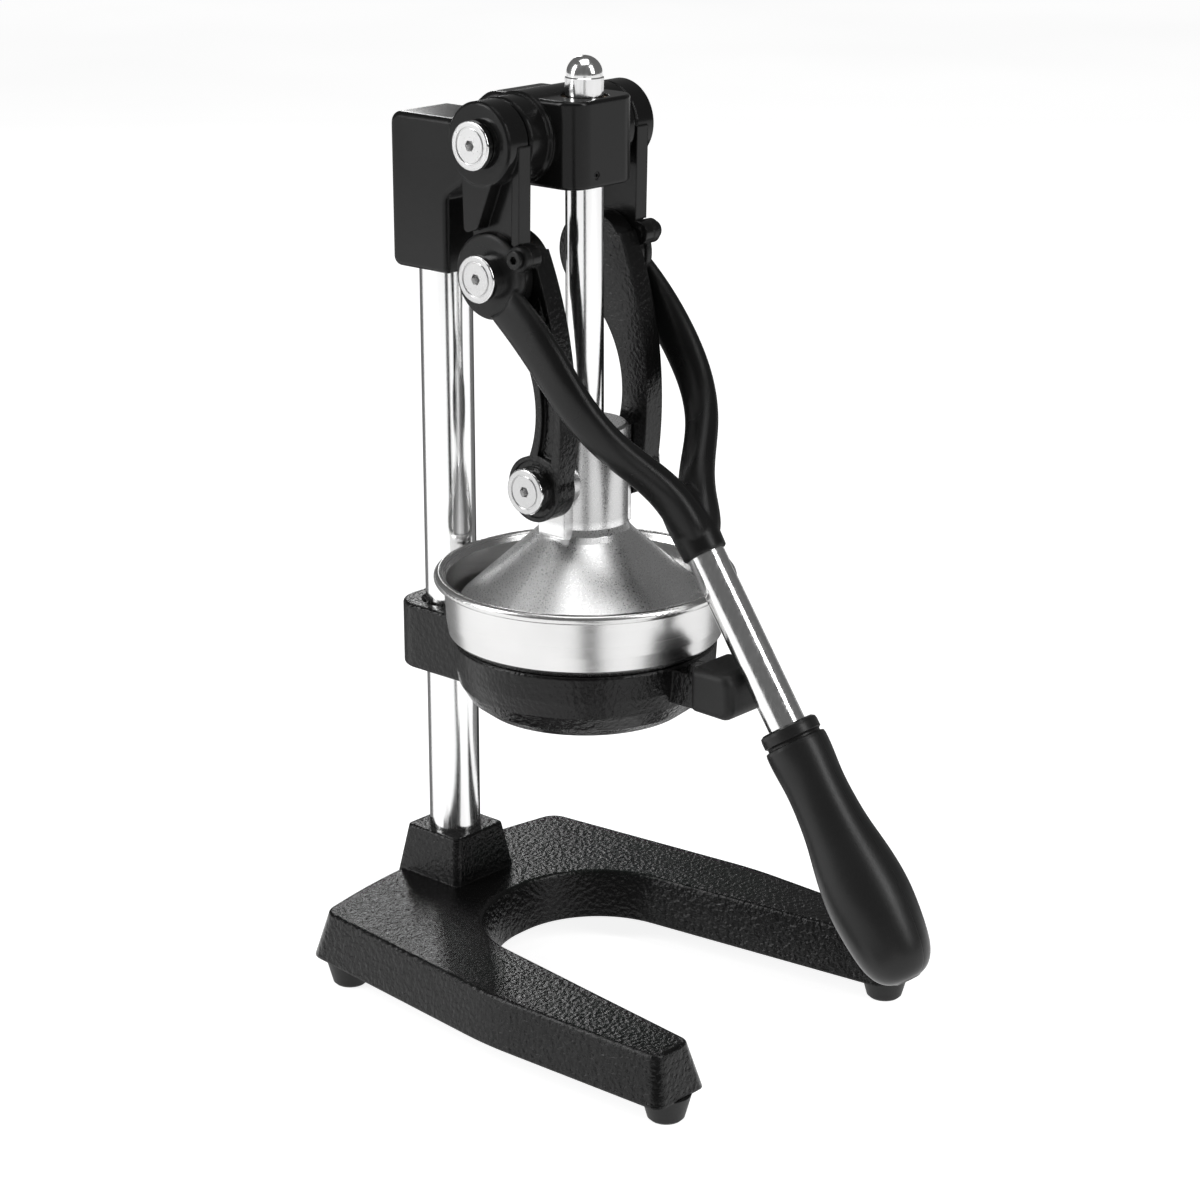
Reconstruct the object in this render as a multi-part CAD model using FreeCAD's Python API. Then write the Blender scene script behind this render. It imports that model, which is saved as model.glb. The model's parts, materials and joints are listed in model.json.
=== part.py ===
import FreeCAD, Part
import math
import os

# Hand-lever citrus press, in millimetres. +Z is up, +X is across the press and -Y is the handle side.
# Everything is drawn about the plunger axis (X = 0, Y = 0) and moved back by FRAME_Y on export,
# which puts the origin under the middle of the whole press, on the table.

V = FreeCAD.Vector
X_AXIS = V(1, 0, 0)
Y_AXIS = V(0, 1, 0)
Z_AXIS = V(0, 0, 1)
SIDES = {"left": -1, "right": 1}

# Driving dimensions
FRAME_Y = 38.13
GAP = 0.4

# Linkage: pivots A (head), B (lever to connecting rods) and C (connecting rods to press cone)
A_Y, A_Z = 16.8, 363.6
B_Y, B_Z = 15.4, 311.5
C_Y, C_Z = 0.0, 226.0
HANDLE_Y, HANDLE_Z = -76.8, 185.9
HANDLE_LEAN = math.radians(34.43)

# Base, feet and column
FOOT_HEIGHT = 11.0
FOOT_TOP_R, FOOT_BOTTOM_R = 10.2, 7.5
FOOT_FRONT = (72.0, -106.0)
FOOT_REAR = (69.0, 74.0)
BASE_BOTTOM, BASE_TOP = FOOT_HEIGHT, 31.0
DRAFT = 4.7
COLUMN_Y = 77.3
COLUMN_R, COLUMN_WALL = 11.1, 2.0
COLUMN_FOOT, COLUMN_HEAD = 19.0, 360.0
SOCKET_TOP = 51.5

# Head
HEAD_HALF, HEAD_BOTTOM, HEAD_SHOULDER = 15.5, 302.0, 366.0
GUIDE_HALF, GUIDE_FRONT, GUIDE_BACK = 19.0, -12.2, 24.0
GUIDE_BOTTOM, GUIDE_TOP = 345.0, 379.4
BARREL_R, BARREL_END = 17.0, 31.0
AXLE_R = 7.0

# Bowl and holder
BOWL_R, BOWL_RIM_Z, BOWL_SHEET = 58.4, 185.4, 1.1
RING_TOP, RING_BOTTOM = 157.0, 126.0
NECK_HALF, NECK_BOTTOM, NECK_TOP = 18.0, 127.0, 156.0
BUMPER_ROUND = 3.6

# Plunger
SHAFT_R, SHAFT_TOP = 7.7, 387.0
NECK_R, NECK_Z = 17.5, 248.0
CONE_R, CONE_RIM_Z = 53.0, 166.0
CROWN_Z, SHAFT_BOTTOM = 201.0, 207.0
EAR_OUT, EAR_HALF, EAR_EYE_R, EAR_BOTTOM = 20.8, 7.5, 10.5, 203.6

# Levers across the press, as distances from the middle plane
ROD_IN, ROD_OUT = EAR_OUT + GAP, 31.0
LINK_IN, LINK_OUT = ROD_OUT + GAP, 36.2
YOKE_OUT = 43.0
LEVER_BOSS_OUT, LEVER_STEP_R = 39.8, 15.4
PIN_R, RUNNING_FIT = 6.0, 0.06
LINK_TOP_R, LINK_FOOT_R, LINK_WAIST_R = 16.6, 16.4, 10.6
YOKE_BOSS_R = 17.2
ROD_TOP_R, ROD_EYE_R = 17.4, 13.5
LOCK_Y, LOCK_Z, LOCK_LUG_R, LOCK_HEAD_R = -0.6, 320.5, 5.0, 3.7

# Handle socket, guide bush and screws, as radii (metric sizes M4, M5, M6, M8 and M10)
SOCKET_R = 9.1
BUSH_R = 9.4
GUIDE_SCREW_X, GUIDE_SCREW_R, GUIDE_SCREW_DEPTH = -6.3, 1.5, 2.2
M4_R, M5_R, M6_R, M8_R, M10_R = 2.0, 2.5, 3.0, 4.0, 5.0


def box(x0, x1, y0, y1, z0, z1):
    return Part.makeBox(x1 - x0, y1 - y0, z1 - z0, V(x0, y0, z0))


def rod_x(radius, x0, x1, y, z):
    """A cylinder along X between two stations, given in either order."""
    low = min(x0, x1)
    return Part.makeCylinder(radius, abs(x1 - x0), V(low, y, z), X_AXIS)


def rod_z(radius, z0, z1, x=0.0, y=0.0):
    return Part.makeCylinder(radius, z1 - z0, V(x, y, z0), Z_AXIS)


def rounded_wire(points, place):
    """A closed wire through (u, v, corner radius) points, each corner a tangent arc."""
    corners = []
    count = len(points)
    for i, (u, v, radius) in enumerate(points):
        here = V(u, v, 0)
        before = V(*points[i - 1][:2], 0) - here
        after = V(*points[(i + 1) % count][:2], 0) - here
        half = before.getAngle(after) / 2
        reach = radius / math.tan(half)
        start = here + before.normalize() * reach
        end = here + after.normalize() * reach
        toward = (before + after).normalize()
        middle = here + toward * (radius / math.sin(half) - radius)
        corners.append((start, middle, end, radius))
    edges = []
    for i, (start, middle, end, radius) in enumerate(corners):
        last_end = corners[i - 1][2]
        if last_end.distanceToPoint(start) > 1e-4:
            edges.append(Part.makeLine(place(last_end), place(start)))
        if radius > 0:
            edges.append(Part.Arc(place(start), place(middle), place(end)).toShape())
    return Part.Wire(edges)


def plate_x(points, x0, x1):
    """A plate lying across X, from a rounded outline of (y, z, radius) points."""
    low = min(x0, x1)
    wire = rounded_wire(points, lambda p: V(low, p.x, p.y))
    return Part.Face(wire).extrude(V(abs(x1 - x0), 0, 0))


def plate_z(points, z0, z1):
    wire = rounded_wire(points, lambda p: V(p.x, p.y, z0))
    return Part.Face(wire).extrude(V(0, 0, z1 - z0))


def arc_plate_x(front, back, x0, x1):
    """A curved strip across X between two arcs, each given as three (y, z) points."""
    low = min(x0, x1)
    lift = [[V(low, y, z) for y, z in arc] for arc in (front, back)]
    wire = Part.Wire([
        Part.Arc(*lift[0]).toShape(),
        Part.makeLine(lift[0][2], lift[1][0]),
        Part.Arc(*lift[1]).toShape(),
        Part.makeLine(lift[1][2], lift[0][0]),
    ])
    return Part.Face(wire).extrude(V(abs(x1 - x0), 0, 0))


def turned(profile, origin=V(0, 0, 0), axis=Z_AXIS):
    """A solid of revolution from (radius, height) points about an axis through origin."""
    side = Y_AXIS if abs(axis.y) < 0.9 else X_AXIS
    across = axis.cross(side).normalize()
    points = [origin + across * r + axis * h for r, h in profile]
    face = Part.Face(Part.makePolygon(points + points[:1]))
    return face.revolve(origin, axis, 360)


def fillet_where(shape, radius, keep):
    """Round the edges whose middle point passes the test."""
    edges = [e for e in shape.Edges if keep(e.CenterOfMass, e)]
    return shape.makeFillet(radius, edges)


def fused(*shapes):
    return shapes[0].multiFuse(list(shapes[1:])).removeSplitter()


def hex_socket(x_face, side, y, z, across=4.0, depth=3.0):
    """A hexagonal key recess entering from an outer face towards the middle plane."""
    corner = across / math.sqrt(3)
    ring = [V(x_face, y + corner * math.cos(k * math.pi / 3), z + corner * math.sin(k * math.pi / 3))
            for k in range(6)]
    return Part.Face(Part.makePolygon(ring + ring[:1])).extrude(V(-side * depth, 0, 0))


# ---- Base and column -------------------------------------------------------------------------

def base_outline(grow, z):
    """The U outline of the base; grow moves every side outwards into the drafted skirt."""
    front = -110 - grow
    half = [
        (73 + grow, 85 + grow, 9),
        (85 + grow, -25, 160),
        (82 + grow, front, 4.5),
        (62.5 - grow, front, 5),
        (43.5 - grow, 41 - grow, 46 - grow),
    ]
    mirrored = [(-x, y, r) for x, y, r in reversed(half)]
    points = [(0, 99 + grow, 300)] + half + mirrored
    return rounded_wire(points, lambda p: V(p.x, p.y, z))


def socket_outline(half_x, half_y, z):
    corners = [(sx * half_x, COLUMN_Y + sy * half_y, 3.0) for sx, sy in ((1, 1), (1, -1), (-1, -1), (-1, 1))]
    return rounded_wire(corners, lambda p: V(p.x, p.y, z))


def base_casting():
    slab = Part.makeLoft([base_outline(DRAFT, BASE_BOTTOM), base_outline(0, BASE_TOP)], True, True)
    slab = fillet_where(slab, 1.6, lambda c, e: c.z > BASE_TOP - 0.01)
    socket_ends = [socket_outline(18.8, 18.8, BASE_TOP - 2), socket_outline(14.9, 15.4, SOCKET_TOP)]
    socket = Part.makeLoft(socket_ends, True, True)
    socket = fillet_where(socket, 1.2, lambda c, e: c.z > SOCKET_TOP - 0.01)
    body = fused(slab, socket)
    body = body.cut(rod_z(COLUMN_R + 0.05, COLUMN_FOOT, SOCKET_TOP + 1, 0, COLUMN_Y))
    body = body.cut(rod_z(M10_R + 0.2, BASE_BOTTOM - 1, COLUMN_FOOT + 1, 0, COLUMN_Y))
    body = body.cut(rod_z(10.5, BASE_BOTTOM - 1, BASE_BOTTOM + 5, 0, COLUMN_Y))
    for x, y in foot_places().values():
        body = body.cut(rod_z(M5_R, BASE_BOTTOM - 1, BASE_BOTTOM + 9, x, y))
    return body


def foot_places():
    places = {}
    for row, (x, y) in (("front", FOOT_FRONT), ("rear", FOOT_REAR)):
        for name, side in SIDES.items():
            places[row + "_" + name] = (side * x, y)
    return places


def rubber_foot(x, y):
    profile = [
        (0, 0), (FOOT_BOTTOM_R - 1, 0), (FOOT_BOTTOM_R, 1), (FOOT_TOP_R, FOOT_HEIGHT), (0, FOOT_HEIGHT),
    ]
    foot = turned(profile, V(x, y, 0))
    foot = foot.cut(rod_z(4.6, -1, 4, x, y))
    return foot.cut(rod_z(M5_R, 3, FOOT_HEIGHT + 1, x, y))


def foot_screw(x, y):
    screw = fused(rod_z(4.2, 2, 4, x, y), rod_z(M5_R, 3.5, BASE_BOTTOM + 8, x, y))
    return screw.cut(rod_z(1.6, 1, 3.2, x, y))


def column_tube():
    tube = rod_z(COLUMN_R, COLUMN_FOOT, COLUMN_HEAD, 0, COLUMN_Y)
    return tube.cut(rod_z(COLUMN_R - COLUMN_WALL, COLUMN_FOOT - 1, COLUMN_HEAD + 1, 0, COLUMN_Y))


def column_plug():
    plug = rod_z(COLUMN_R - COLUMN_WALL, COLUMN_FOOT, COLUMN_FOOT + 24, 0, COLUMN_Y)
    return plug.cut(rod_z(5.0, COLUMN_FOOT - 1, COLUMN_FOOT + 18, 0, COLUMN_Y))


def column_bolt():
    corner = 8.5 / math.cos(math.pi / 6)
    turns = [k * math.pi / 3 for k in range(6)]
    ring = [V(corner * math.cos(t), COLUMN_Y + corner * math.sin(t), BASE_BOTTOM - 3) for t in turns]
    head = Part.Face(Part.makePolygon(ring + ring[:1])).extrude(V(0, 0, 6.2))
    return fused(head, rod_z(M10_R, BASE_BOTTOM, COLUMN_FOOT + 16, 0, COLUMN_Y))


def column_washer():
    washer = rod_z(9.8, BASE_BOTTOM + 3.2, BASE_BOTTOM + 5, 0, COLUMN_Y)
    return washer.cut(rod_z(5.0, BASE_BOTTOM, BASE_BOTTOM + 6, 0, COLUMN_Y))


# ---- Head --------------------------------------------------------------------------------------

def head_casting():
    back = COLUMN_Y + 15.8
    lip = COLUMN_Y - 15.6
    arm = plate_x([
        (back, HEAD_BOTTOM, 4), (back, HEAD_SHOULDER, 5), (56, HEAD_SHOULDER, 12), (38, GUIDE_TOP, 12),
        (5, GUIDE_TOP, 0), (5, GUIDE_BOTTOM + 1, 0), (50, 342, 7), (lip, 334, 4), (lip, HEAD_BOTTOM, 1.5),
    ], -HEAD_HALF, HEAD_HALF)
    arm = fillet_where(arm, 2.2, lambda c, e: abs(abs(c.x) - HEAD_HALF) < 0.01 and c.y > 24)
    guide = box(-GUIDE_HALF, GUIDE_HALF, GUIDE_FRONT, GUIDE_BACK, GUIDE_BOTTOM, GUIDE_TOP)
    upright = (GUIDE_BOTTOM + GUIDE_TOP) / 2
    guide = fillet_where(guide, 9.0, lambda c, e: abs(c.z - upright) < 0.01 and c.y < 0)
    guide = fillet_where(guide, 4.0, lambda c, e: abs(c.z - upright) < 0.01 and c.y > GUIDE_BACK - 0.01)
    guide = fillet_where(guide, 1.4, lambda c, e: min(abs(c.z - GUIDE_TOP), abs(c.z - GUIDE_BOTTOM)) < 0.01)
    barrel = rod_x(BARREL_R, -BARREL_END, BARREL_END, A_Y, A_Z)
    ends = [e for e in barrel.Edges if abs(abs(e.CenterOfMass.x) - BARREL_END) < 0.01]
    barrel = barrel.makeChamfer(1.0, ends)
    shoulder = rod_x(BARREL_R + 1.2, -GUIDE_HALF - 2.2, GUIDE_HALF + 2.2, A_Y, A_Z)
    shoulder = shoulder.makeChamfer(1.1, [e for e in shoulder.Edges if abs(e.CenterOfMass.x) > GUIDE_HALF])
    body = fused(arm, guide, barrel, shoulder)
    body = body.cut(rod_z(COLUMN_R + 0.05, HEAD_BOTTOM - 1, COLUMN_HEAD, 0, COLUMN_Y))
    body = body.cut(rod_x(AXLE_R, -BARREL_END - 1, BARREL_END + 1, A_Y, A_Z))
    body = body.cut(rod_z(BUSH_R, GUIDE_BOTTOM - 1, GUIDE_TOP + 5))
    body = body.cut(set_screw_hole(GUIDE_SCREW_R, GUIDE_SCREW_X, GUIDE_FRONT - 1, GUIDE_BOTTOM + 5.2,
                                   1.0 + GUIDE_SCREW_DEPTH))
    return body.cut(set_screw_hole(3.0, 0, back + 1, HEAD_BOTTOM + 12, -6.0))


def set_screw_hole(radius, x, y, z, length):
    return Part.makeCylinder(radius, abs(length), V(x, min(y, y + length), z), Y_AXIS)


def guide_bush():
    bush = rod_z(BUSH_R, GUIDE_BOTTOM + 0.4, GUIDE_TOP - 0.8)
    bush = bush.cut(rod_z(SHAFT_R + RUNNING_FIT, GUIDE_BOTTOM - 1, GUIDE_TOP + 1))
    return bush


def guide_screw():
    height = GUIDE_BOTTOM + 5.2
    screw = set_screw_hole(GUIDE_SCREW_R, GUIDE_SCREW_X, GUIDE_FRONT + 0.3, height, GUIDE_SCREW_DEPTH - 0.3)
    return screw.cut(set_screw_hole(0.7, GUIDE_SCREW_X, GUIDE_FRONT - 1, height, 2.2))


def head_set_screw():
    back = COLUMN_Y + 15.8
    screw = set_screw_hole(3.0, 0, back - 0.4, HEAD_BOTTOM + 12, -4.2)
    return screw.cut(set_screw_hole(1.5, 0, back + 1, HEAD_BOTTOM + 12, -3.4))


# ---- Pivot hardware ------------------------------------------------------------------------------

def pivot_axle():
    axle = rod_x(AXLE_R, -YOKE_OUT - GAP, YOKE_OUT + GAP, A_Y, A_Z)
    return axle.cut(rod_x(4.0, -YOKE_OUT - 1, -YOKE_OUT + 14, A_Y, A_Z)).cut(
        rod_x(4.0, YOKE_OUT - 14, YOKE_OUT + 1, A_Y, A_Z))


def cap_screw(side, y, z, rim_r, face, seat, shank_r, shank_end):
    """A broad chrome cap screw: dished rim, raised centre disc, thick collar behind it and a shank."""
    out = side * face
    rim = rod_x(rim_r, out, side * (face - 2.4), y, z)
    rim = rim.makeFillet(0.7, [e for e in rim.Edges if abs(e.CenterOfMass.x - out) < 0.01])
    groove = rod_x(rim_r - 2.3, side * (face - 0.5), out, y, z)
    groove = groove.cut(rod_x(rim_r - 3.0, 0, side * (face + 1), y, z))
    collar = rod_x(rim_r - 1.2, side * (face - 2.4), side * seat, y, z)
    shank = rod_x(shank_r, side * seat, side * shank_end, y, z)
    return fused(rim, collar, shank).cut(groove).cut(hex_socket(out, side, y, z))


# ---- Upper links -----------------------------------------------------------------------------------

def strap_x(y0, z0, r0, y1, z1, r1, x0, x1):
    """A plate across X that wraps two circles with straight tangent sides."""
    first, second = V(0, y0, z0), V(0, y1, z1)
    line = second - first
    lean = math.atan2(line.z, line.y)
    spread = math.acos((r0 - r1) / line.Length)
    low = min(x0, x1)
    corners = []
    for centre, radius, turn in ((first, r0, spread), (second, r1, spread), (second, r1, -spread),
                                 (first, r0, -spread)):
        angle = lean + turn
        corners.append(V(low, centre.y + radius * math.cos(angle), centre.z + radius * math.sin(angle)))
    flat = Part.Face(Part.makePolygon(corners + corners[:1])).extrude(V(abs(x1 - x0), 0, 0))
    return fused(flat, rod_x(r0, x0, x1, y0, z0), rod_x(r1, x0, x1, y1, z1))


def upper_link(side):
    """Arm from the head axle down to the yoke boss: thin plate, thick boss and rib, front flange."""
    waist = strap_x(A_Y, A_Z, LINK_WAIST_R, B_Y, B_Z, LINK_WAIST_R, side * LINK_IN, side * LINK_OUT)
    foot = rod_x(LINK_FOOT_R, side * LINK_IN, side * LINK_OUT, B_Y, B_Z)
    web = plate_x([(0.2, A_Z, 0), (A_Y, A_Z, 0), (B_Y, B_Z, 0), (LOCK_Y + 1, LOCK_Z, 0)],
                  side * LINK_IN, side * LINK_OUT)
    boss = rod_x(LINK_TOP_R, side * LINK_IN, side * YOKE_OUT, A_Y, A_Z)
    boss = boss.makeChamfer(0.9, [e for e in boss.Edges if abs(e.CenterOfMass.x) > YOKE_OUT - 0.1
                                  or abs(e.CenterOfMass.x) < LINK_IN + 1])
    rib = plate_x([
        (A_Y + 10, A_Z, 3), (A_Y - 9, A_Z - 8, 3), (B_Y + 3, B_Z + 19, 2), (B_Y + 7, B_Z + 17.5, 2),
        (B_Y + 10.2, B_Z + 15, 2),
    ], side * LINK_IN, side * (YOKE_OUT - 0.8))
    flange = plate_x([(-0.4, A_Z, 0), (3.4, A_Z, 0), (4.4, LOCK_Z + 1.5, 0), (0.4, LOCK_Z + 1.5, 0)],
                     side * LINK_IN, side * (LINK_OUT + 1.8))
    ear = rod_x(LOCK_LUG_R, side * LINK_IN, side * LINK_OUT, LOCK_Y, LOCK_Z)
    body = fused(waist, foot, web, boss, rib, flange, ear)
    body = body.cut(rod_x(AXLE_R + RUNNING_FIT, 0, side * (YOKE_OUT + 1), A_Y, A_Z))
    body = body.cut(rod_x(PIN_R, 0, side * (YOKE_OUT + 1), B_Y, B_Z))
    clear = rod_x(YOKE_BOSS_R + 0.3, side * LINK_OUT, side * (YOKE_OUT + 1), B_Y, B_Z)
    lug_clear = rod_x(LOCK_LUG_R + 0.3, side * LINK_OUT, side * (YOKE_OUT + 1), LOCK_Y, LOCK_Z)
    return body.cut(clear).cut(lug_clear).cut(rod_x(M5_R, 0, side * (YOKE_OUT + 1), LOCK_Y, LOCK_Z))


def link_lock_screw(side):
    head = rod_x(LOCK_HEAD_R, side * (LINK_OUT + 3.8), side * (LINK_OUT + 6.0), LOCK_Y, LOCK_Z)
    screw = fused(head, rod_x(M5_R, side * LINK_IN, side * (LINK_OUT + 4), LOCK_Y, LOCK_Z))
    return screw.cut(hex_socket(side * (LINK_OUT + 6.0), side, LOCK_Y, LOCK_Z, 3.0, 1.6))


# ---- Yoke, handle and grip ---------------------------------------------------------------------------

HANDLE_ORIGIN = V(0, HANDLE_Y, HANDLE_Z)
HANDLE_DIR = V(0, -math.sin(HANDLE_LEAN), -math.cos(HANDLE_LEAN))

# Stations of the right arm: x, y, z, half width in the side view, half thickness across
ARM = [
    (39.6, 12.0, 307.0, 8.6, 3.2),
    (39.4, 0.5, 297.0, 9.2, 3.9),
    (38.2, -14.5, 281.5, 9.0, 4.6),
    (35.2, -28.5, 263.5, 8.2, 5.0),
    (27.5, -38.5, 249.5, 7.6, 5.2),
    (16.5, -46.0, 238.0, 7.6, 5.6),
    (7.5, -53.0, 226.5, 7.8, 6.4),
    (1.5, -60.0, 212.5, 7.6, 6.8),
]


def arm_section(index, side):
    """A closed rounded section square to the arm's path at one station."""
    x, y, z, wide, thick = ARM[index]
    before = ARM[max(index - 1, 0)]
    after = ARM[min(index + 1, len(ARM) - 1)]
    along = V(after[0] - before[0], after[1] - before[1], after[2] - before[2]).normalize()
    width_dir = along.cross(X_AXIS).normalize()
    thick_dir = width_dir.cross(along).normalize()
    points = []
    for k in range(16):
        angle = k * math.pi / 8
        c, s = math.cos(angle), math.sin(angle)
        u = math.copysign(abs(c) ** 0.8, c) * wide
        w = math.copysign(abs(s) ** 0.8, s) * thick
        point = V(x, y, z) + width_dir * u + thick_dir * w
        points.append(V(side * point.x, point.y, point.z))
    curve = Part.BSplineCurve()
    curve.interpolate(points, PeriodicFlag=True)
    return Part.Wire(curve.toShape())


def along_handle(distance):
    return HANDLE_ORIGIN + HANDLE_DIR * distance


def handle_rod(radius, start, end):
    return Part.makeCylinder(radius, end - start, along_handle(start), HANDLE_DIR)


def yoke():
    profile = [
        (0, -52), (7, -51), (9.4, -46), (SOCKET_R + 0.6, -38), (SOCKET_R, -23.4), (SOCKET_R - 0.6, -22.8),
        (0, -22.8),
    ]
    socket = turned(profile, HANDLE_ORIGIN, HANDLE_DIR)
    pieces = [socket]
    for side in SIDES.values():
        sections = [arm_section(i, side) for i in range(len(ARM))]
        pieces.append(Part.makeLoft(sections, True, False))
        boss = rod_x(YOKE_BOSS_R, side * LINK_OUT, side * LEVER_BOSS_OUT, B_Y, B_Z)
        boss = boss.makeFillet(1.0, [e for e in boss.Edges if abs(e.CenterOfMass.x) > LEVER_BOSS_OUT - 0.1])
        pieces.append(boss)
        pieces.append(rod_x(LOCK_LUG_R, side * LINK_OUT, side * (LINK_OUT + 3.8), LOCK_Y, LOCK_Z))
    body = fused(*pieces)
    lock_face = LINK_OUT + 3.8
    for side in SIDES.values():
        body = body.cut(rod_x(LEVER_STEP_R, side * LEVER_BOSS_OUT, side * (YOKE_OUT + 6), B_Y, B_Z))
        body = body.cut(rod_x(PIN_R, side * 30, side * (YOKE_OUT + 1), B_Y, B_Z))
        body = body.cut(rod_x(M5_R, side * 30, side * (YOKE_OUT + 1), LOCK_Y, LOCK_Z))
        body = body.cut(rod_x(LOCK_HEAD_R + 0.3, side * lock_face, side * (YOKE_OUT + 1), LOCK_Y, LOCK_Z))
        body = body.cut(rod_x(LINK_FOOT_R + 3, side * 30, side * LINK_OUT, B_Y, B_Z))
    body = body.cut(handle_rod(SHAFT_R + 0.02, -46, -20))
    return body.cut(handle_pin_rod(SOCKET_R + 1))


def handle_tube():
    return handle_rod(SHAFT_R, -45.5, 112).cut(handle_rod(SHAFT_R - 1.5, -46, 113))


def handle_pin_rod(outer):
    """Cylinder square to the tube, from its rear surface out to a radius."""
    rear = V(0, math.cos(HANDLE_LEAN), -math.sin(HANDLE_LEAN))
    return Part.makeCylinder(M4_R, outer - SHAFT_R, along_handle(-33) + rear * SHAFT_R, rear)


def handle_pin():
    """Set screw in the rear wall of the socket, bearing on the tube."""
    clear_of_tube = handle_pin_rod(SOCKET_R - 0.1)
    return clear_of_tube.cut(handle_rod(SHAFT_R + 0.02, -46, -20))


def grip():
    spline = Part.BSplineCurve()
    side_points = [
        (12.7, 60.6), (12.7, 66), (12.1, 76), (12.4, 88), (13.4, 98), (15.1, 108), (16.5, 118), (17.0, 128),
        (16.5, 137), (15.4, 146), (13.7, 153), (10.8, 158), (6.0, 161),
    ]
    across = V(0, math.cos(HANDLE_LEAN), -math.sin(HANDLE_LEAN))
    spline.interpolate([along_handle(h) + across * r for r, h in side_points])
    head = [
        (SHAFT_R + 0.02, 52), (10.4, 52), (11.7, 52.8), (12.0, 54.2), (12.0, 57.2), (11.1, 58), (11.1, 58.8),
        (12.4, 59.2),
    ]
    tail = [(4.8, 161.6), (0, 161.6), (0, 113), (SHAFT_R + 0.02, 113)]
    head_pts = [along_handle(h) + across * r for r, h in head]
    tail_pts = [along_handle(h) + across * r for r, h in tail]
    first = spline.value(spline.FirstParameter)
    last = spline.value(spline.LastParameter)
    wire = Part.Wire([*Part.makePolygon(head_pts + [first]).Edges, spline.toShape(),
                      *Part.makePolygon([last] + tail_pts + head_pts[:1]).Edges])
    return Part.Face(wire).revolve(HANDLE_ORIGIN, HANDLE_DIR, 360)


# ---- Connecting rods and plunger -----------------------------------------------------------------------

def connecting_rod(side):
    """Bowed rod from B to C, hollow towards the column, with a raised rim round its web."""
    front_arc = [(0.0, 322.0), (-13.6, 272.0), (-11.6, 222.0)]
    back_arc = [(6.0, 232.0), (-1.4, 256.0), (24.0, 299.0)]
    web = arc_plate_x(front_arc, back_arc, side * ROD_IN, side * ROD_OUT)
    pocket_front = [(-3.2, 304.0), (-10.6, 272.0), (-9.4, 238.5)]
    pocket_back = [(-2.2, 240.5), (-4.6, 257.0), (5.0, 290.0)]
    pocket = arc_plate_x(pocket_front, pocket_back, side * (ROD_OUT - 2.2), side * (ROD_OUT + 1))
    top = rod_x(ROD_TOP_R, side * ROD_IN, side * ROD_OUT, B_Y, B_Z)
    eye = rod_x(ROD_EYE_R, side * ROD_IN, side * ROD_OUT, C_Y, C_Z)
    body = fused(web.cut(pocket), top, eye)
    ring = rod_x(ROD_TOP_R - 2.6, side * (ROD_OUT - 0.9), side * (ROD_OUT + 1), B_Y, B_Z)
    body = body.cut(ring.cut(rod_x(10.5, side * ROD_IN, side * (ROD_OUT + 2), B_Y, B_Z)))
    step = rod_x(ROD_EYE_R - 1.8, side * (ROD_OUT - 0.8), side * (ROD_OUT + 1), C_Y, C_Z)
    body = body.cut(step.cut(rod_x(9.2, side * ROD_IN, side * (ROD_OUT + 2), C_Y, C_Z)))
    body = body.cut(rod_x(PIN_R + RUNNING_FIT, 0, side * (ROD_OUT + 1), B_Y, B_Z))
    return body.cut(rod_x(PIN_R, 0, side * (ROD_OUT + 1), C_Y, C_Z))


def plunger_shaft():
    shaft = rod_z(SHAFT_R, SHAFT_BOTTOM, SHAFT_TOP)
    shaft = shaft.makeChamfer(0.5, [e for e in shaft.Edges if e.CenterOfMass.z > SHAFT_TOP - 0.01])
    shaft = shaft.cut(rod_z(M8_R, SHAFT_TOP - 10, SHAFT_TOP + 1))
    return shaft.cut(rod_z(M6_R, SHAFT_BOTTOM - 1, SHAFT_BOTTOM + 16))


def dome_cap():
    radius = 7.25
    ball = Part.makeSphere(radius, V(0, 0, SHAFT_TOP + 0.8))
    ball = ball.common(rod_z(20, SHAFT_TOP + 0.8, SHAFT_TOP + 20))
    return fused(ball, rod_z(radius, SHAFT_TOP, SHAFT_TOP + 0.8), rod_z(M8_R, SHAFT_TOP - 9, SHAFT_TOP))


def press_cone():
    """Bell-shaped upper cup with a round neck and two flat side bosses for the rods."""
    bell = turned([
        (0, NECK_Z), (NECK_R - 1, NECK_Z), (NECK_R, NECK_Z - 1), (NECK_R, 207), (18.6, 204.2), (20.6, 202),
        (CONE_R - 2.0, 174.5), (CONE_R, 171.5), (CONE_R, CONE_RIM_Z + 0.6), (CONE_R - 0.6, CONE_RIM_Z),
        (CONE_R - 3.4, CONE_RIM_Z), (CONE_R - 4.0, 170.5), (16, 199.5), (0, CROWN_Z),
    ])
    bosses = box(-EAR_OUT, EAR_OUT, -EAR_HALF, EAR_HALF, EAR_BOTTOM, NECK_Z - 4.0)
    bosses = bosses.makeFillet(1.2, [e for e in bosses.Edges if abs(abs(e.CenterOfMass.x) - EAR_OUT) < 0.01])
    bosses = bosses.fuse(rod_x(EAR_EYE_R, -EAR_OUT, EAR_OUT, C_Y, C_Z))
    inside = turned([(0, 150), (CONE_R - 4.0, 150), (CONE_R - 4.0, 170.5), (16, 199.5), (0, CROWN_Z)])
    body = fused(bell, bosses).cut(inside)
    body = body.cut(rod_z(SHAFT_R, SHAFT_BOTTOM, NECK_Z + 1)).cut(rod_z(M6_R, CROWN_Z - 3, SHAFT_BOTTOM + 1))
    for side in SIDES.values():
        body = body.cut(rod_x(PIN_R, side * (EAR_OUT - 9), side * (EAR_OUT + 1), C_Y, C_Z))
    return body


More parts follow.
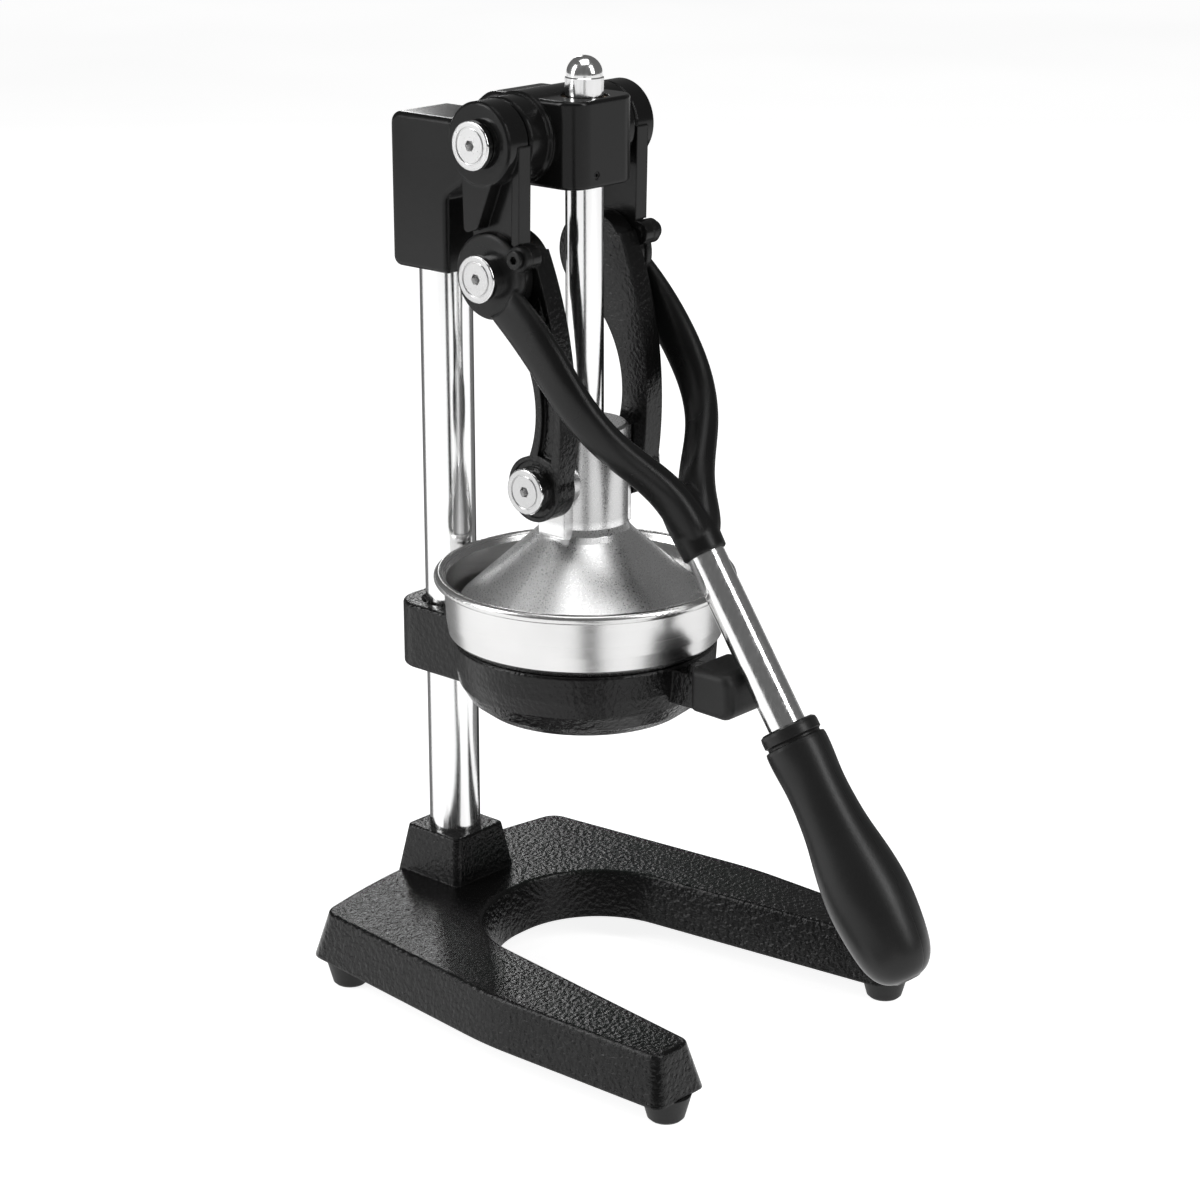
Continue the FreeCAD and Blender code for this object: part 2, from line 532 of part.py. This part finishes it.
def cone_screw():
    """Socket screw that holds the press cone on the shaft, entered from inside the cone."""
    screw = fused(rod_z(5.0, CROWN_Z - 4.9, CROWN_Z - 0.5), rod_z(M6_R, CROWN_Z - 0.5, SHAFT_BOTTOM + 14))
    return screw.cut(rod_z(2.0, CROWN_Z - 5, CROWN_Z - 2.5))


# ---- Bowl, strainer, reamer and holder -------------------------------------------------------------------

def bowl_profile(inset):
    """Outer line of the bowl from spout to rim; inset draws the inner face of the sheet."""
    return [
        (11 - inset, 130.0), (11 - inset, 137.5 + inset), (44 - inset, 139.5 + inset),
        (48.4 - inset, 144 + inset / 2), (48.8 - inset, 157.2 + inset), (53.6 - inset / 2, 157.2 + inset),
        (56.6 - inset, 160.2 + inset / 2),
        (BOWL_R - 0.9 - inset, 166), (BOWL_R - inset, BOWL_RIM_Z - 3.2),
    ]


def bowl():
    outer = bowl_profile(0)
    inner = bowl_profile(BOWL_SHEET)
    sheet = turned(outer + inner[::-1])
    rim = Part.makeTorus(BOWL_R + 1.9, 2.1, V(0, 0, BOWL_RIM_Z - 2.1))
    flare = turned([
        (BOWL_R - BOWL_SHEET, BOWL_RIM_Z - 3.6), (BOWL_R, BOWL_RIM_Z - 3.6),
        (BOWL_R + 1.2, BOWL_RIM_Z - 1.0), (BOWL_R + 0.4, BOWL_RIM_Z - 0.4),
    ])
    return fused(sheet, flare, rim)


def strainer():
    disc = turned([
        (0, 158.4), (52.0, 158.4), (54.0, 160.9), (55.2, 165.0), (54.2, 165.0), (53.2, 161.4), (51.4, 159.4),
        (0, 159.4),
    ])
    rings = ((46.4, 48), (49.4, 50))
    for radius, count in rings:
        for k in range(count):
            angle = 2 * math.pi * k / count
            disc = disc.cut(rod_z(1.0, 157, 161, radius * math.cos(angle), radius * math.sin(angle)))
    return disc


def reamer():
    core = turned([(0, 159.4), (44, 159.4), (44, 162), (41, 164), (20, 180.5), (6, 190.5), (0, 192.5)])
    ribs = []
    rib_count = 12
    for k in range(rib_count):
        rib = plate_x([(6, 184, 0), (40, 160, 0), (44.5, 160, 0), (44.5, 163.2, 0), (6, 193, 0)], -1.2, 1.2)
        rib.rotate(V(0, 0, 0), Z_AXIS, 360 * k / rib_count)
        ribs.append(rib)
    return fused(core, *ribs)


def bowl_holder():
    """Ring that carries the bowl, its neck and clamp sleeve on the column, and the bumper lug."""
    ring = turned([
        (50, RING_TOP), (54.2, RING_TOP), (54.8, RING_TOP - 0.8), (54.2, 146), (52.6, 139), (48.6, 132.5),
        (43, 128.3), (37, RING_BOTTOM), (24, RING_BOTTOM), (24, RING_BOTTOM + 4.5), (38, 131.4), (46, 136.4),
        (49.6, 143),
    ])
    cavity = turned([(0, 110), (24, 110), (24, RING_BOTTOM + 4.5), (38, 131.4), (46, 136.4), (49.6, 143),
                     (50, 190), (0, 190)])
    rear = COLUMN_Y + 19
    neck = plate_z([(NECK_HALF, 40, 0), (NECK_HALF, rear, 13), (-NECK_HALF, rear, 13), (-NECK_HALF, 40, 0)],
                   NECK_BOTTOM, NECK_TOP)
    neck = fillet_where(neck, 1.6, lambda c, e: (abs(c.z - NECK_BOTTOM) < 0.01 or abs(c.z - NECK_TOP) < 0.01)
                        and c.y > 41)
    lug = box(-8, 8, -66, -50, 142, 156)
    tongue = box(-6, 6, -79, -60, 146.5, 153)
    body = fused(ring, neck, lug, tongue).cut(cavity)
    body = body.cut(rod_z(COLUMN_R + 0.05, NECK_BOTTOM - 1, NECK_TOP + 1, 0, COLUMN_Y))
    body = body.cut(Part.makeCone(COLUMN_R, COLUMN_R + 1.8, 1.8, V(0, COLUMN_Y, NECK_TOP - 1.8), Z_AXIS))
    body = body.cut(set_screw_hole(3.0, 0, rear + 1, (NECK_TOP + NECK_BOTTOM) / 2, -9.4))
    return body.cut(rod_z(2.0, 140, 160, 0, -72))


def holder_set_screw():
    rear = COLUMN_Y + 19
    middle = (NECK_TOP + NECK_BOTTOM) / 2
    screw = set_screw_hole(3.0, 0, rear - 0.4, middle, -7.4)
    return screw.cut(set_screw_hole(1.5, 0, rear + 1, middle, -3.4))


def bumper():
    outline = [(-66.4, 142.5, 2), (-66.4, 161.5, 2), (-86.6, 161.5, 5.5), (-88.2, 142.0, 5.5)]
    block = plate_x(outline, -13, 13)
    ends = [e for e in block.Edges if abs(abs(e.CenterOfMass.x) - 13) < 0.01]
    block = block.makeFillet(BUMPER_ROUND, ends)
    block = block.cut(box(-6, 6, -79, -60, 146.5, 153))
    block = block.cut(handle_rod(SHAFT_R + GAP, -20, 60))
    block = block.cut(rod_z(2.0, 152, 158, 0, -72))
    return block.cut(rod_z(3.6, 140, 144.6, 0, -72)).cut(rod_z(2.0, 143, 148, 0, -72))


def bumper_screw():
    return fused(rod_z(3.5, 142.8, 144.6, 0, -72), rod_z(2.0, 144, 157.5, 0, -72))


# ---- Assembly ------------------------------------------------------------------------------------------

def build():
    nodes = {
        "base_casting": base_casting(),
        "column_tube": column_tube(),
        "column_plug": column_plug(),
        "column_bolt": column_bolt(),
        "column_washer": column_washer(),
        "head_casting": head_casting(),
        "head_set_screw": head_set_screw(),
        "guide_bush": guide_bush(),
        "guide_screw": guide_screw(),
        "pivot_axle": pivot_axle(),
        "bowl_holder": bowl_holder(),
        "holder_set_screw": holder_set_screw(),
        "bumper": bumper(),
        "bumper_screw": bumper_screw(),
        "bowl": bowl(),
        "strainer": strainer(),
        "reamer": reamer(),
        "yoke": yoke(),
        "handle_tube": handle_tube(),
        "handle_pin": handle_pin(),
        "grip": grip(),
        "plunger_shaft": plunger_shaft(),
        "dome_cap": dome_cap(),
        "press_cone": press_cone(),
        "cone_screw": cone_screw(),
    }
    for place, (x, y) in foot_places().items():
        nodes["foot_" + place] = rubber_foot(x, y)
        nodes["foot_screw_" + place] = foot_screw(x, y)
    head_seat, thread_end, pin_end = YOKE_OUT + GAP, YOKE_OUT - 12, ROD_IN + 1
    for name, side in SIDES.items():
        nodes["upper_link_" + name] = upper_link(side)
        nodes["link_lock_screw_" + name] = link_lock_screw(side)
        nodes["connecting_rod_" + name] = connecting_rod(side)
        nodes["head_cap_screw_" + name] = cap_screw(side, A_Y, A_Z, 9.7, 47.7, head_seat, M8_R, thread_end)
        nodes["lever_cap_screw_" + name] = cap_screw(side, B_Y, B_Z, 9.5, 46.8, LEVER_BOSS_OUT, PIN_R,
                                                     pin_end)
        nodes["rod_cap_screw_" + name] = cap_screw(side, C_Y, C_Z, 9.4, 36.5, ROD_OUT, PIN_R, pin_end)
    return nodes


def main():
    os.makedirs("parts", exist_ok=True)
    for name, shape in build().items():
        shape.translate(V(0, FRAME_Y, 0))
        shape.exportStep(os.path.join("parts", name + ".step"))
        box_ = shape.BoundBox
        print(name, shape.isValid(), len(shape.Solids), round(shape.Volume),
              [round(v, 1) for v in (box_.XMin, box_.XMax, box_.YMin, box_.YMax, box_.ZMin, box_.ZMax)])


main()
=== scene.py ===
import json
import math

import bpy
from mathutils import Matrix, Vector


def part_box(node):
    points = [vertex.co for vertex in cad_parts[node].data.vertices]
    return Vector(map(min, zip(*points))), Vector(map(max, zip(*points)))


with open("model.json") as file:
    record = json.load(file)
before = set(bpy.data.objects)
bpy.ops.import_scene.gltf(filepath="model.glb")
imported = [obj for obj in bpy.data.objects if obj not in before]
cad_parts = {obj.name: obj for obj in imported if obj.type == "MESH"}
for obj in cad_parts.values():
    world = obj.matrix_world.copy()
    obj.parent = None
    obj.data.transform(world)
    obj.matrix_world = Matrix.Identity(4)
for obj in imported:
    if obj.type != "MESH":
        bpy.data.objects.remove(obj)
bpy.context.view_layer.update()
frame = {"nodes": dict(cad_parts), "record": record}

# A hand-lever citrus press. Units are metres. +X is across the press, -Y is the handle side, +Z is up.

nodes = frame["nodes"]


# ---- Places read from the frame ------------------------------------------------------------------

def centre(node):
    low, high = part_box(node)
    return (Vector(low) + Vector(high)) / 2


PLUNGER_Y = centre("plunger_shaft").y
CONE_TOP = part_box("press_cone")[1][2]
CONE_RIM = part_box("press_cone")[0][2]
NECK_SHARE = 0.53                # part of the cone's height that is below the round neck
NECK_Z = CONE_RIM + (CONE_TOP - CONE_RIM) * NECK_SHARE
MM = 0.001


# ---- Node helpers ----------------------------------------------------------------------------------

class Surface:
    """One procedural material: a Principled shader with named helpers for its maps."""

    def __init__(self, name, roughness, metallic=0.0, **constants):
        self.material = bpy.data.materials.new(name)
        self.material.use_nodes = True
        self.tree = self.material.node_tree
        self.shader = self.tree.nodes["Principled BSDF"]
        self.shader.inputs["Roughness"].default_value = roughness
        self.shader.inputs["Metallic"].default_value = metallic
        for socket, value in constants.items():
            self.shader.inputs[socket.replace("_", " ")].default_value = value
        self.coords = self.tree.nodes.new("ShaderNodeTexCoord")

    def link(self, a, b):
        self.tree.links.new(a, b)

    def node(self, kind, **settings):
        made = self.tree.nodes.new(kind)
        for key, value in settings.items():
            setattr(made, key, value)
        return made

    def stretched(self, scale):
        mapping = self.node("ShaderNodeMapping")
        mapping.inputs["Scale"].default_value = scale
        self.link(self.coords.outputs["Object"], mapping.inputs["Vector"])
        return mapping.outputs["Vector"]

    def noise(self, scale, detail=3.0, vector=None):
        made = self.node("ShaderNodeTexNoise")
        made.inputs["Scale"].default_value = scale
        made.inputs["Detail"].default_value = detail
        self.link(vector or self.coords.outputs["Object"], made.inputs["Vector"])
        return made.outputs["Fac"]

    def cells(self, scale, smoothness=0.8):
        made = self.node("ShaderNodeTexVoronoi", feature="SMOOTH_F1")
        made.inputs["Scale"].default_value = scale
        made.inputs["Smoothness"].default_value = smoothness
        self.link(self.coords.outputs["Object"], made.inputs["Vector"])
        return made.outputs["Distance"]

    def ramp(self, value, low, high, start=0.0, end=1.0):
        made = self.node("ShaderNodeMapRange")
        made.inputs["From Min"].default_value = start
        made.inputs["From Max"].default_value = end
        made.inputs["To Min"].default_value = low
        made.inputs["To Max"].default_value = high
        self.link(value, made.inputs["Value"])
        return made.outputs["Result"]

    def math(self, operation, a, b=None):
        made = self.node("ShaderNodeMath", operation=operation)
        for socket, value in zip(made.inputs, (a, b)):
            if value is None:
                continue
            if isinstance(value, (int, float)):
                socket.default_value = value
            else:
                self.link(value, socket)
        return made.outputs[0]

    def mixed(self, factor, first, second):
        made = self.node("ShaderNodeMix", data_type="RGBA")
        self.link(factor, made.inputs["Factor"])
        for socket, value in ((made.inputs[6], first), (made.inputs[7], second)):
            if isinstance(value, tuple):
                socket.default_value = (*value, 1.0)
            else:
                self.link(value, socket)
        return made.outputs[2]

    def axis(self, name, source="Object"):
        made = self.node("ShaderNodeSeparateXYZ")
        self.link(self.coords.outputs[source], made.inputs[0])
        return made.outputs[name]

    def colour(self, value):
        self.link(value, self.shader.inputs["Base Color"])

    def roughness(self, value):
        self.link(value, self.shader.inputs["Roughness"])

    def relief(self, height, depth, strength=1.0, edge=0.0):
        """Bump in metres, over softly rounded edges where edge is given."""
        bump = self.node("ShaderNodeBump")
        bump.inputs["Distance"].default_value = depth
        bump.inputs["Strength"].default_value = strength
        self.link(height, bump.inputs["Height"])
        if edge:
            bevel = self.node("ShaderNodeBevel", samples=4)
            bevel.inputs["Radius"].default_value = edge
            self.link(bevel.outputs["Normal"], bump.inputs["Normal"])
        self.link(bump.outputs["Normal"], self.shader.inputs["Normal"])


def grey(value, warm=0.0):
    return (value * (1 + warm), value, value * (1 - warm))


# ---- Materials -------------------------------------------------------------------------------------

def hammered_paint(name, cell, depth, rough_low, rough_high):
    """Thick wrinkled enamel on cast iron: small pits over a finer ripple."""
    made = Surface(name, 0.2, Specular_IOR_Level=0.26)
    pits = made.cells(1 / cell)
    ripple = made.noise(1 / (cell * 0.45), 4.0)
    height = made.math("ADD", made.math("MULTIPLY", pits, 0.75), made.math("MULTIPLY", ripple, 0.6))
    made.relief(height, depth, 0.85, edge=1.1 * MM)
    cloud = made.noise(45, 2.0)
    made.colour(made.mixed(cloud, grey(0.003), grey(0.006)))
    made.roughness(made.ramp(ripple, rough_low, rough_high, 0.3, 0.7))
    return made.material


def smooth_paint(name, rough, tone, edge):
    """Glossy black enamel with a trace of orange peel."""
    made = Surface(name, rough, Specular_IOR_Level=0.22)
    peel = made.noise(420, 2.0)
    made.relief(peel, 0.05 * MM, 0.35, edge=edge)
    cloud = made.noise(30, 3.0)
    made.colour(made.mixed(cloud, grey(tone * 0.8), grey(tone * 1.25)))
    made.roughness(made.ramp(cloud, rough * 0.85, rough * 1.2, 0.3, 0.7))
    return made.material


def chrome(name, rough=0.14, tone=0.84):
    """Bright plate, slightly softened, with the faintest drawn lines along its length."""
    made = Surface(name, rough, metallic=1.0)
    lines = made.noise(1.0, 2.0, made.stretched((900, 900, 14)))
    made.colour(made.mixed(lines, grey(tone * 0.96), grey(tone * 1.04)))
    made.roughness(made.ramp(lines, rough * 0.7, rough * 1.5, 0.3, 0.7))
    made.relief(lines, 0.004 * MM, 0.25)
    return made.material


def screw_chrome(name):
    """Cap screw: turned satin end faces and polished sides."""
    made = Surface(name, 0.2, metallic=1.0)
    facing = made.math("ABSOLUTE", made.axis("X", "Normal"))
    end_face = made.ramp(facing, 0.0, 1.0, 0.8, 0.95)
    grain = made.noise(900, 3.0)
    made.colour(made.mixed(end_face, grey(0.78), grey(0.48)))
    satin = made.ramp(grain, 0.26, 0.42, 0.3, 0.7)
    polished = made.ramp(grain, 0.04, 0.08, 0.3, 0.7)
    blended = made.node("ShaderNodeMix", data_type="FLOAT")
    made.link(end_face, blended.inputs["Factor"])
    made.link(polished, blended.inputs[2])
    made.link(satin, blended.inputs[3])
    made.roughness(blended.outputs[0])
    made.relief(grain, 0.02 * MM, 0.3, edge=0.25 * MM)
    return made.material


def turned_lines(made, density):
    """Fine rings about the plunger axis, as spinning and brushing leave them."""
    split = made.node("ShaderNodeSeparateXYZ")
    made.link(made.coords.outputs["Object"], split.inputs[0])
    back = made.math("SUBTRACT", split.outputs["Y"], PLUNGER_Y)
    squares = made.math("ADD", made.math("MULTIPLY", split.outputs["X"], split.outputs["X"]),
                        made.math("MULTIPLY", back, back))
    joined = made.node("ShaderNodeCombineXYZ")
    made.link(made.math("SQRT", squares), joined.inputs[0])
    made.link(split.outputs["Z"], joined.inputs[2])
    return made.noise(density, 4.0, joined.outputs[0])


def brushed_steel(name):
    made = Surface(name, 0.24, metallic=1.0, Anisotropic=0.55)
    tangent = made.node("ShaderNodeTangent", direction_type="RADIAL", axis="Z")
    made.link(tangent.outputs[0], made.shader.inputs["Tangent"])
    rings = turned_lines(made, 3400)
    cloud = made.noise(55, 2.0)
    made.colour(made.mixed(cloud, grey(0.62, 0.004), grey(0.70, 0.004)))
    made.roughness(made.ramp(rings, 0.2, 0.28, 0.3, 0.7))
    made.relief(rings, 0.004 * MM, 0.25)
    return made.material


def cast_aluminium(name):
    """Blasted neck above, spun satin cone below."""
    made = Surface(name, 0.36, metallic=1.0)
    grain = made.noise(1500, 3.0)
    rings = turned_lines(made, 1500)
    below = made.ramp(made.axis("Z"), 1.0, 0.0, NECK_Z - MM, NECK_Z + MM)
    mottled = made.mixed(grain, grey(0.44), grey(0.74))
    spun = made.mixed(rings, grey(0.76), grey(0.86))
    made.colour(made.mixed(below, mottled, spun))
    made.roughness(made.ramp(grain, 0.24, 0.38, 0.3, 0.7))
    made.relief(grain, 0.05 * MM, 0.45, edge=0.5 * MM)
    return made.material


def rubber(name, tone, rough, seam=False):
    """Moulded rubber with a fine skin; the grip shows its parting line in the middle plane."""
    made = Surface(name, rough, Specular_IOR_Level=0.28)
    skin = made.noise(1300, 3.0)
    cloud = made.noise(40, 2.0)
    body = made.mixed(cloud, grey(tone * 0.85), grey(tone * 1.2))
    height = skin
    if seam:
        across = made.math("ABSOLUTE", made.axis("X"))
        line = made.ramp(across, 1.0, 0.0, 0.10 * MM, 0.32 * MM)
        body = made.mixed(line, body, grey(tone * 0.25))
        height = made.math("SUBTRACT", skin, made.math("MULTIPLY", line, 2.5))
    made.colour(body)
    made.roughness(made.ramp(skin, rough * 0.9, rough * 1.12, 0.3, 0.7))
    made.relief(height, 0.05 * MM, 0.4, edge=0.4 * MM)
    return made.material


def plated_steel(name, tone, rough, warm=0.0):
    made = Surface(name, rough, metallic=1.0)
    grain = made.noise(800, 4.0)
    made.colour(made.mixed(grain, grey(tone * 0.85, warm), grey(tone * 1.1, warm)))
    made.roughness(made.ramp(grain, rough * 0.8, rough * 1.25, 0.3, 0.7))
    made.relief(grain, 0.02 * MM, 0.3, edge=0.2 * MM)
    return made.material


def paint_everything():
    base_paint = hammered_paint("base_enamel", 2.0 * MM, 0.42 * MM, 0.1, 0.2)
    rod_paint = hammered_paint("rod_enamel", 1.7 * MM, 0.34 * MM, 0.1, 0.2)
    head_paint = smooth_paint("head_enamel", 0.17, 0.006, edge=1.0 * MM)
    lever_paint = smooth_paint("lever_enamel", 0.28, 0.006, edge=2.0 * MM)
    tube_chrome = chrome("tube_chrome")
    by_slot = {
        "hammered_black_paint": base_paint,
        "gloss_black_paint": head_paint,
        "chrome_plate": tube_chrome,
        "brushed_stainless": brushed_steel("brushed_stainless"),
        "cast_aluminium": cast_aluminium("cast_aluminium"),
        "black_grip_rubber": rubber("grip_rubber", 0.011, 0.34, seam=True),
        "black_rubber": rubber("foot_rubber", 0.009, 0.5),
        "bronze_bush": plated_steel("bronze", 0.42, 0.3, 0.28),
        "zinc_plated_steel": plated_steel("zinc_plate", 0.6, 0.32),
    }
    cap = screw_chrome("cap_screw_chrome")
    blackened = plated_steel("blackened_screw", 0.03, 0.34)
    for entry in frame["record"]["subparts"]:
        name = entry["node"]
        surface = by_slot[entry["material_slot"]]
        if "cap_screw" in name:
            surface = cap
        elif name == "guide_screw":
            surface = blackened
        elif name.startswith("connecting_rod"):
            surface = rod_paint
        elif name == "yoke":
            surface = lever_paint
        thing = nodes[name]
        thing.data.materials.clear()
        thing.data.materials.append(surface)


# ---- Stage, light and camera --------------------------------------------------------------------------

FLOOR_HALF = 6.0
BACKDROP_RADIUS, BACKDROP_HEIGHT, BACKDROP_SIDES = 5.8, 5.0, 48
STUDIO_GLOW = 1.75                  # emission of floor and wall, which keeps them evenly pale
WORLD_LIGHT = 0.14
LIGHTS_AIM_Z = 0.2
CARD_LIFT = 0.0006
CARD_REACH = 2.6


def staged_mesh(name, points, faces, material):
    mesh = bpy.data.meshes.new(name)
    mesh.from_pydata(points, [], faces)
    mesh.materials.append(material)
    made = bpy.data.objects.new(name, mesh)
    bpy.context.scene.collection.objects.link(made)
    return made


def floor_and_backdrop():
    """Pale floor and a round pale wall; the wall is seen directly but not in reflections."""
    surface = Surface("studio_pale", 0.7, Specular_IOR_Level=0.1, Emission_Strength=STUDIO_GLOW)
    cloud = surface.noise(1.5, 2.0)
    pale = surface.mixed(cloud, grey(0.48), grey(0.52))
    surface.colour(pale)
    surface.link(pale, surface.shader.inputs["Emission Color"])

    half = FLOOR_HALF
    corners = [(-half, -half, 0), (half, -half, 0), (half, half, 0), (-half, half, 0)]
    staged_mesh("floor", corners, [(0, 1, 2, 3)], surface.material)

    sides = BACKDROP_SIDES
    turns = [2 * math.pi * k / sides for k in range(sides)]
    foot = [(BACKDROP_RADIUS * math.cos(t), BACKDROP_RADIUS * math.sin(t), 0.0) for t in turns]
    top = [(x, y, BACKDROP_HEIGHT) for x, y, _ in foot]
    faces = [(k, k + sides, (k + 1) % sides + sides, (k + 1) % sides) for k in range(sides)]
    wall = staged_mesh("backdrop", foot + top, faces, surface.material)
    wall.visible_glossy = False
    wall.visible_diffuse = False
    wall.visible_shadow = False


CAMERA_AZIMUTH = math.radians(-48.58)
CAMERA_HEIGHT = math.radians(18.28)
CAMERA_DISTANCE = 1.2
FOCAL_IN_WIDTHS = 2905.6 / 1200     # focal length over image width
SENSOR = 36.0
AIM_SIDE, AIM_Z = 0.00608, 0.1718

CAMERA_BACK = Vector((math.sin(CAMERA_AZIMUTH) * math.cos(CAMERA_HEIGHT),
                      -math.cos(CAMERA_AZIMUTH) * math.cos(CAMERA_HEIGHT), math.sin(CAMERA_HEIGHT)))
CAMERA_RIGHT = Vector((math.cos(CAMERA_AZIMUTH), math.sin(CAMERA_AZIMUTH), 0))


def camera():
    data = bpy.data.cameras.new("camera")
    data.sensor_width = SENSOR
    data.lens = FOCAL_IN_WIDTHS * SENSOR
    made = bpy.data.objects.new("camera", data)
    aim = CAMERA_RIGHT * AIM_SIDE + Vector((0, PLUNGER_Y, AIM_Z))
    made.location = aim + CAMERA_BACK * CAMERA_DISTANCE
    made.rotation_mode = "QUATERNION"
    made.rotation_quaternion = (-CAMERA_BACK).to_track_quat("-Z", "Y")
    bpy.context.scene.collection.objects.link(made)
    bpy.context.scene.camera = made


def softbox(name, place, width, height, power):
    """A rectangular soft light aimed at the middle of the press."""
    data = bpy.data.lights.new(name, "AREA")
    data.shape = "RECTANGLE"
    data.size, data.size_y = width, height
    data.energy = power
    made = bpy.data.objects.new(name, data)
    made.location = place
    toward = Vector((0, PLUNGER_Y, LIGHTS_AIM_Z)) - Vector(place)
    made.rotation_mode = "QUATERNION"
    made.rotation_quaternion = toward.to_track_quat("-Z", "Y")
    made.visible_camera = False
    bpy.context.scene.collection.objects.link(made)


def around(side, forward, up):
    """A place given sideways and towards the camera, level with the floor, and up."""
    level = Vector((CAMERA_BACK.x, CAMERA_BACK.y, 0)).normalized()
    place = CAMERA_RIGHT * side + level * forward
    return (place.x, place.y, up)


def lights():
    softbox("left_box", around(-1.5, 0.3, 0.9), 0.5, 1.4, 16)
    softbox("right_box", around(1.25, 0.8, 1.15), 0.5, 1.4, 14)
    softbox("top_box", around(0.0, 0.1, 2.2), 1.4, 1.4, 12)
    softbox("back_strip", around(-0.3, -2.0, 1.0), 0.14, 0.8, 3.0)
    world = bpy.data.worlds.new("studio")
    bpy.context.scene.world = world
    world.use_nodes = True
    back = world.node_tree.nodes["Background"]
    back.inputs["Color"].default_value = (1, 1, 1, 1)
    back.inputs["Strength"].default_value = WORLD_LIGHT
    bpy.context.scene.view_settings.view_transform = "Standard"


def reflected_card(name, turn, half_angle, near, tone):
    """Wedge on the floor seen only in reflections; turn is its bearing from the camera, in degrees."""
    left, right = math.radians(turn - half_angle), math.radians(turn + half_angle)
    rays = ((left, near), (right, near), (right, CARD_REACH), (left, CARD_REACH))
    corners = [around(math.sin(ray) * reach, math.cos(ray) * reach, CARD_LIFT) for ray, reach in rays]
    surface = Surface(name, 1.0, Specular_IOR_Level=0.0)
    weave = surface.noise(60, 2.0)
    surface.colour(surface.mixed(weave, grey(tone * 0.8), grey(tone * 1.2)))
    made = staged_mesh(name, corners, [(0, 1, 2, 3)], surface.material)
    made.visible_camera = False
    made.visible_diffuse = False
    made.visible_shadow = False


def cards():
    """The dark centre line and dark edges that upright chrome shows in a white studio."""
    reflected_card("front_card", 0, 7, 0.16, 0.004)
    reflected_card("rear_card_left", 140, 18, 0.2, 0.25)
    reflected_card("rear_card_right", 220, 18, 0.2, 0.25)
    reflected_card("rear_card", 180, 22, 0.2, 0.03)


paint_everything()
floor_and_backdrop()
camera()
lights()
cards()
